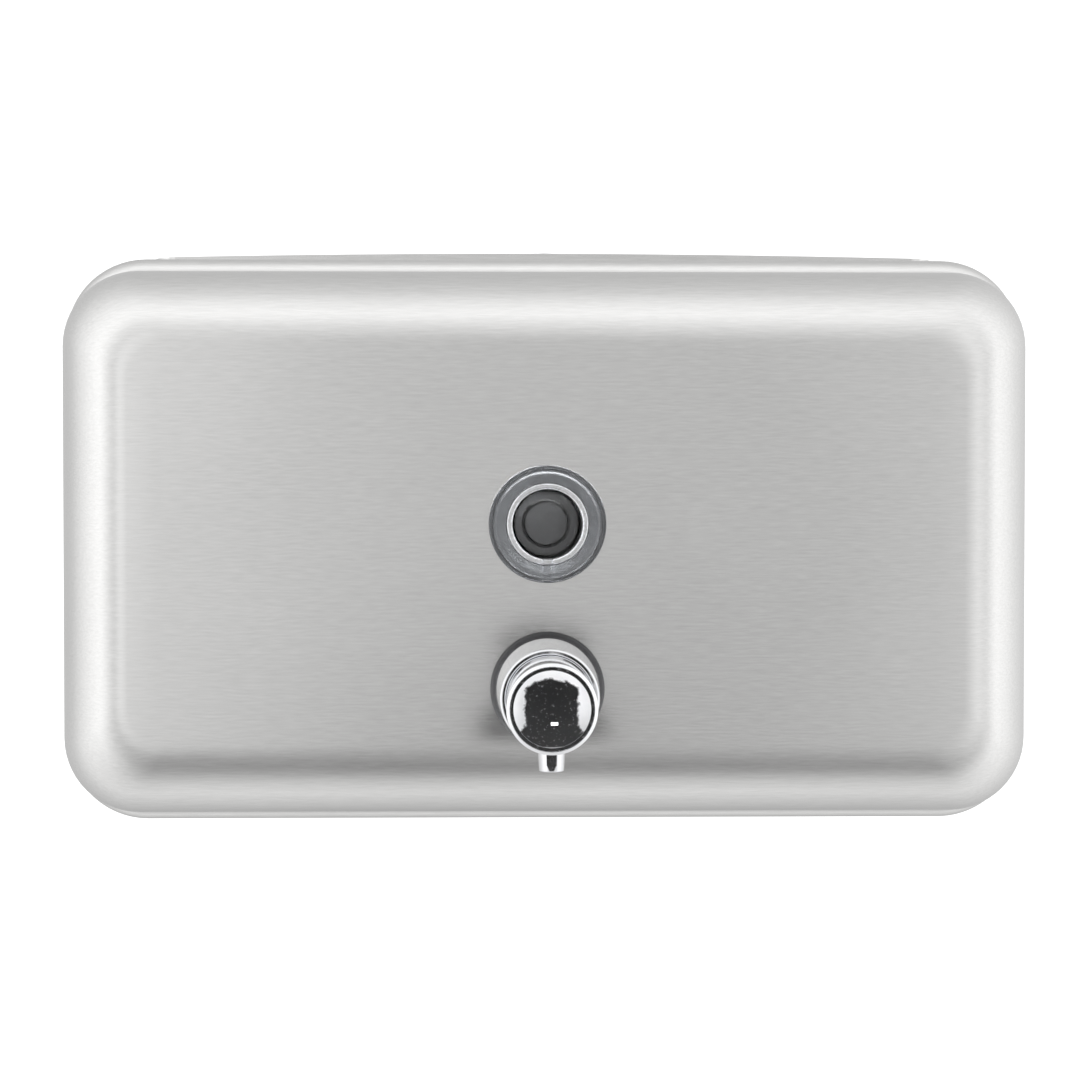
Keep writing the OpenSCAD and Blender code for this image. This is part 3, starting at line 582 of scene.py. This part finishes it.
def buildButton(size):
    # Hollow cap of revolution: a domed face on a sphere's cap, a flat groove round it, a rim
    # that falls outwards on a cone and a straight skirt, then back along the inside.
    face, bead, rim = size["face"], size["bead"], size["rim"]
    sphere = (face ** 2 + size["dome"] ** 2) / (2 * size["dome"])
    r = np.linspace(0, face - 0.1, 28)
    cap = np.column_stack([r, rim + size["dome"] - sphere + np.sqrt(sphere ** 2 - r ** 2)])
    side = softPath([
        (r[-1], cap[-1, 1], 0), (face, rim, 0.03), (face + 0.05, rim - size["notch"], 0.02),
        (bead, rim - size["notch"], 0.02), (bead + 0.05, rim, 0.05),
        (size["button"], rim - size["fall"], 0.2),
        (size["button"], size["buttonBack"], 0.3),
        (size["bore"], size["buttonBack"], 0.2), (size["bore"], size["boreEnd"], 0.1),
        (0.0, size["boreEnd"], 0)], steps=8)
    skin = turnedGrid(np.concatenate([cap[:-1], side]), axisZ, 160)
    return faceOutwards(layMesh("pushCap", [skin], finishes["chrome"]))


cap = buildButton(valve)
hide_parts("push_button")
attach(cap, "button")

spout = {"out": 105.5, "root": 2.65, "tip": 2.35, "drop": 12.3, "bore": 1.75, "boreDepth": 4.8,
         "hidden": 8.0, "flare": 0.12, "flareRise": 1.2, "sunk": 0.1}


def buildSpout(size):
    # Tube of revolution about a plumb line; the top row is lifted to the button's round side,
    # so its height is -sqrt(button^2 - x^2).
    a = np.linspace(0, 2 * math.pi, 96, endpoint=False)[None, :]
    path = softPath([
        (size["root"], -size["hidden"], 0),
        (size["tip"] + size["flare"], -size["drop"] + size["flareRise"], 0.8),
        (size["tip"], -size["drop"], 0.25), (size["bore"], -size["drop"], 0.15),
        (size["bore"], -size["drop"] + size["boreDepth"], 0.1),
        (0.0, -size["drop"] + size["boreDepth"], 0)], steps=5)
    r, z = path[:, :1], path[:, 1:2] + 0 * a
    skirt = valve["button"] - size["sunk"]
    z[0] = -np.sqrt(skirt ** 2 - (size["root"] * np.cos(a[0])) ** 2)
    top = np.full(a.shape[1], -size["hidden"])
    lid = np.stack([0 * a[0], 0 * a[0] - size["out"], top], axis=-1)[None]
    skin = np.stack([r * np.cos(a), r * np.sin(a) - size["out"], z], axis=-1)
    grid = np.concatenate([lid, skin])
    grid[..., 2] += axisZ / mm
    return faceOutwards(layMesh("outletSpout", [(grid * mm, False, True)], finishes["chrome"]))


nose = buildSpout(spout)
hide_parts("nozzle")
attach(nose, "button")

coil = {"radius": 3.9, "wire": 0.35, "turns": 6, "back": 42.2, "front": 62.9, "flat": 0.7,
        "stroke": 10.0}


def buildCoil(size):
    # Round wire carried along a helix whose ends lie flat: place rises with the turn.
    t = np.linspace(0, 2 * math.pi * size["turns"], 40 * size["turns"])[:, None]
    b = np.linspace(0, 2 * math.pi, 10, endpoint=False)[None, :]
    share = (t / (2 * math.pi) - size["flat"]) / (size["turns"] - 2 * size["flat"])
    share = np.clip(share, 0, 1)
    w = size["back"] + size["wire"] + share * (size["front"] - size["back"] - 2 * size["wire"])
    r = size["radius"] + size["wire"] * np.cos(b)
    tube = np.stack([r * np.cos(t), -(w + size["wire"] * np.sin(b)), r * np.sin(t)], axis=-1)
    ends = [np.repeat(tube[k].mean(0)[None, None], 10, 1) for k in (0, -1)]
    grid = np.concatenate([ends[0], tube, ends[1]])
    grid[..., 2] += axisZ / mm
    return faceOutwards(layMesh("pumpSpring", [(grid * mm, False, True)],
                                finishes["spring_steel"]))


spring = buildCoil(coil)
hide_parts("return_spring")
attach(spring, "tank")
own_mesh(spring)
print("valve built")


for name, node in frame["nodes"].items():
    node.data.materials.clear()
    node.data.materials.append(finishes[slotOf[name]])
print("carried-over pieces finished")


room = {"floorDrop": 0.62, "floorSize": 6.0, "lampDrop": 0.12, "lampSize": 8.0, "lampWatts": 1600}


def buildFloor(size):
    floorPaint = newPaint("paleFloor")
    mottle = floorPaint.noise(floorPaint.objectPlace((3.0, 3.0, 3.0)), 1.0, 3.0, 0.5)
    paper = floorPaint.finish(
        Base_Color=floorPaint.blendColour(mottle, (0.86, 0.86, 0.86, 1), (0.90, 0.90, 0.90, 1)),
        Roughness=0.8)
    low = cadBox[0].z - size["floorDrop"]
    s = np.linspace(-size["floorSize"] / 2, size["floorSize"] / 2, 9)
    x, y = np.meshgrid(s, s)
    grid = np.stack([x, y, 0 * x + low], axis=-1)
    floor = layMesh("floor", [(grid, False, False)], paper)
    floor.visible_glossy = False
    lamp = bpy.data.lights.new("floorLamp", "AREA")
    lamp.size, lamp.energy = size["lampSize"], size["lampWatts"]
    lampObject = bpy.data.objects.new("floorLamp", lamp)
    lampObject.location = (0, 0, low + size["floorDrop"] - size["lampDrop"])
    bpy.context.scene.collection.objects.link(lampObject)
    lampObject.visible_camera = lampObject.visible_glossy = False
    lampObject.visible_transmission = False


buildFloor(room)

flag = {"out": 121.5, "half": 9.9, "top": 10.2, "bottom": -17.0, "ragged": 3.6, "round": 0.03,
        "flare": 0.9, "flareFrom": 7.0, "spread": 5.0,
        "lampHalf": 1.2, "lampTop": -5.1, "lampBottom": -6.2, "lampAcross": 0.9, "lampOut": 121.4}


def buildFlag(size):
    # Studio flag: a dark card close in front of the button that only mirrors see, so that the
    # plating has something dark to show, with one small lit pane. Heights are over the axis.
    # The card is cut away where |x| passes the half width, which grows by the flare below its
    # start, or z passes top - round * x^2, both moved by noise.
    card = newPaint("flagCard")
    weave = card.noise(card.objectPlace((700.0, 700.0, 700.0)), 1.0, 4.0, 0.7)
    tear = card.noise(card.objectPlace((450.0, 450.0, 450.0)), 1.0, 3.0, 0.6)
    ragged = (tear - 0.5) * size["ragged"]
    parts = card.node("SeparateXYZ", i0=card.objectPlace((1 / mm,) * 3, (0, 0, -axisZ / mm)))
    x, z = card.wire(parts, 0), card.wire(parts, 2)
    below = card.wire(card.node("Math", {"operation": "MAXIMUM"}, i0=-1 * z - size["flareFrom"],
                                i1=0.0))
    wide = (x * x) ** 0.5 - size["flare"] * below
    def inside(room):
        return card.ramp(room + ragged + 0.5, [(0.0, 0.0), (1.0, 1.0)])
    shown = inside(size["half"] - wide) * inside(size["top"] - z - size["round"] * x * x)
    glint = card.ramp(weave, [(0.60, 0.004), (0.72, 0.35)])
    black = card.blendColour(weave, (0.004,) * 3 + (1,), (0.01,) * 3 + (1,))
    dark = card.finish(Base_Color=black, Roughness=0.9, Emission_Color=glint,
                       Emission_Strength=1.0, Alpha=shown)
    pane = newPaint("flagPane")
    glow = pane.noise(pane.objectPlace((200.0, 200.0, 200.0)), 1.0, 2.0, 0.5)
    lit = pane.finish(Base_Color=(0.8, 0.8, 0.8, 1), Roughness=0.9,
                      Emission_Color=pane.ramp(glow, [(0.0, 0.8), (1.0, 1.0)]),
                      Emission_Strength=1.6)
    for name, xs, zs, out, paper in (
            ("flag", (-size["half"] - size["spread"], size["half"] + size["spread"]),
             (size["bottom"], size["top"] + 2), size["out"], dark),
            ("pane", (size["lampAcross"] - size["lampHalf"], size["lampAcross"] + size["lampHalf"]),
             (size["lampBottom"], size["lampTop"]), size["lampOut"], lit)):
        x, z = np.meshgrid(np.linspace(*xs, 5), np.linspace(*zs, 5))
        grid = np.stack([x, 0 * x - out, z + axisZ / mm], axis=-1) * mm
        sheet = layMesh(name, [(grid, False, False)], paper)
        sheet.visible_camera = sheet.visible_diffuse = sheet.visible_shadow = False
        sheet.visible_transmission = sheet.visible_volume_scatter = False


buildFlag(flag)

studio = {  # tone by the angle from straight out of the panel as a share of half a turn
    "left": [(0.0, 0.64), (0.045, 0.72), (0.06, 0.92), (0.115, 1.15), (0.17, 0.80), (0.228, 1.10),
             (0.285, 1.36), (0.40, 1.18), (0.51, 0.98), (0.62, 0.75), (0.75, 0.66), (1.0, 0.62)],
    "right": [(0.0, 0.64), (0.035, 0.56), (0.06, 0.60), (0.075, 0.72), (0.185, 1.05), (0.26, 0.90),
              (0.355, 1.28), (0.47, 1.16), (0.58, 0.98), (0.70, 0.84), (0.85, 0.70), (1.0, 0.65)],
    "up": [(0.0, 0.64), (0.04, 0.64), (0.09, 0.78), (0.20, 1.08), (0.26, 1.25), (0.365, 1.08),
           (0.48, 0.82), (0.60, 0.70), (0.75, 0.62), (1.0, 0.56)],
    "down": [(0.0, 0.64), (0.045, 0.52), (0.10, 0.46), (0.155, 0.40), (0.22, 0.33), (0.27, 0.40),
             (0.38, 0.74), (0.49, 0.90), (0.60, 0.76), (0.72, 0.62), (0.83, 0.48), (1.0, 0.45)],
    "strength": 1.0,
}


def lightStudio(size):
    # Tone of the light from a direction: its angle from straight out of the panel picks a tone
    # on each quarter's scale, and the quarters are mixed by the squares of its side and height.
    world = bpy.data.worlds.new("studio")
    bpy.context.scene.world = world
    paint = Paint(world)
    way = paint.node("TexCoord")
    parts = paint.node("SeparateXYZ", i0=paint.wire(way, "Generated"))
    x, y, z = (paint.wire(parts, k) for k in range(3))
    angle = paint.node("Math", {"operation": "ARCCOSINE"}, i0=-1 * y)
    share = paint.wire(angle) / math.pi
    across = x * x + z * z + 1e-6
    def side(value, sign):
        part = paint.wire(paint.node("Math", {"operation": "MAXIMUM"}, i0=sign * value, i1=0.0))
        return part * part / across
    tone = None
    for name, value, sign in (("left", x, -1), ("right", x, 1), ("up", z, 1), ("down", z, -1)):
        part = paint.ramp(share, [(p, (t, t, t, 1)) for p, t in size[name]]) * side(value, sign)
        tone = part if tone is None else tone + part
    seen = paint.node("LightPath")
    light = paint.node("Background", Color=tone, Strength=size["strength"])
    white = paint.node("Background", Color=(1, 1, 1, 1), Strength=1.3)
    both = paint.node("MixShader", i0=paint.wire(seen, "Is Camera Ray"), i1=paint.wire(light),
                      i2=paint.wire(white))
    paint.node("OutputWorld", Surface=paint.wire(both))


lightStudio(studio)
bpy.context.scene.view_settings.view_transform = "Standard"
print("room lit")
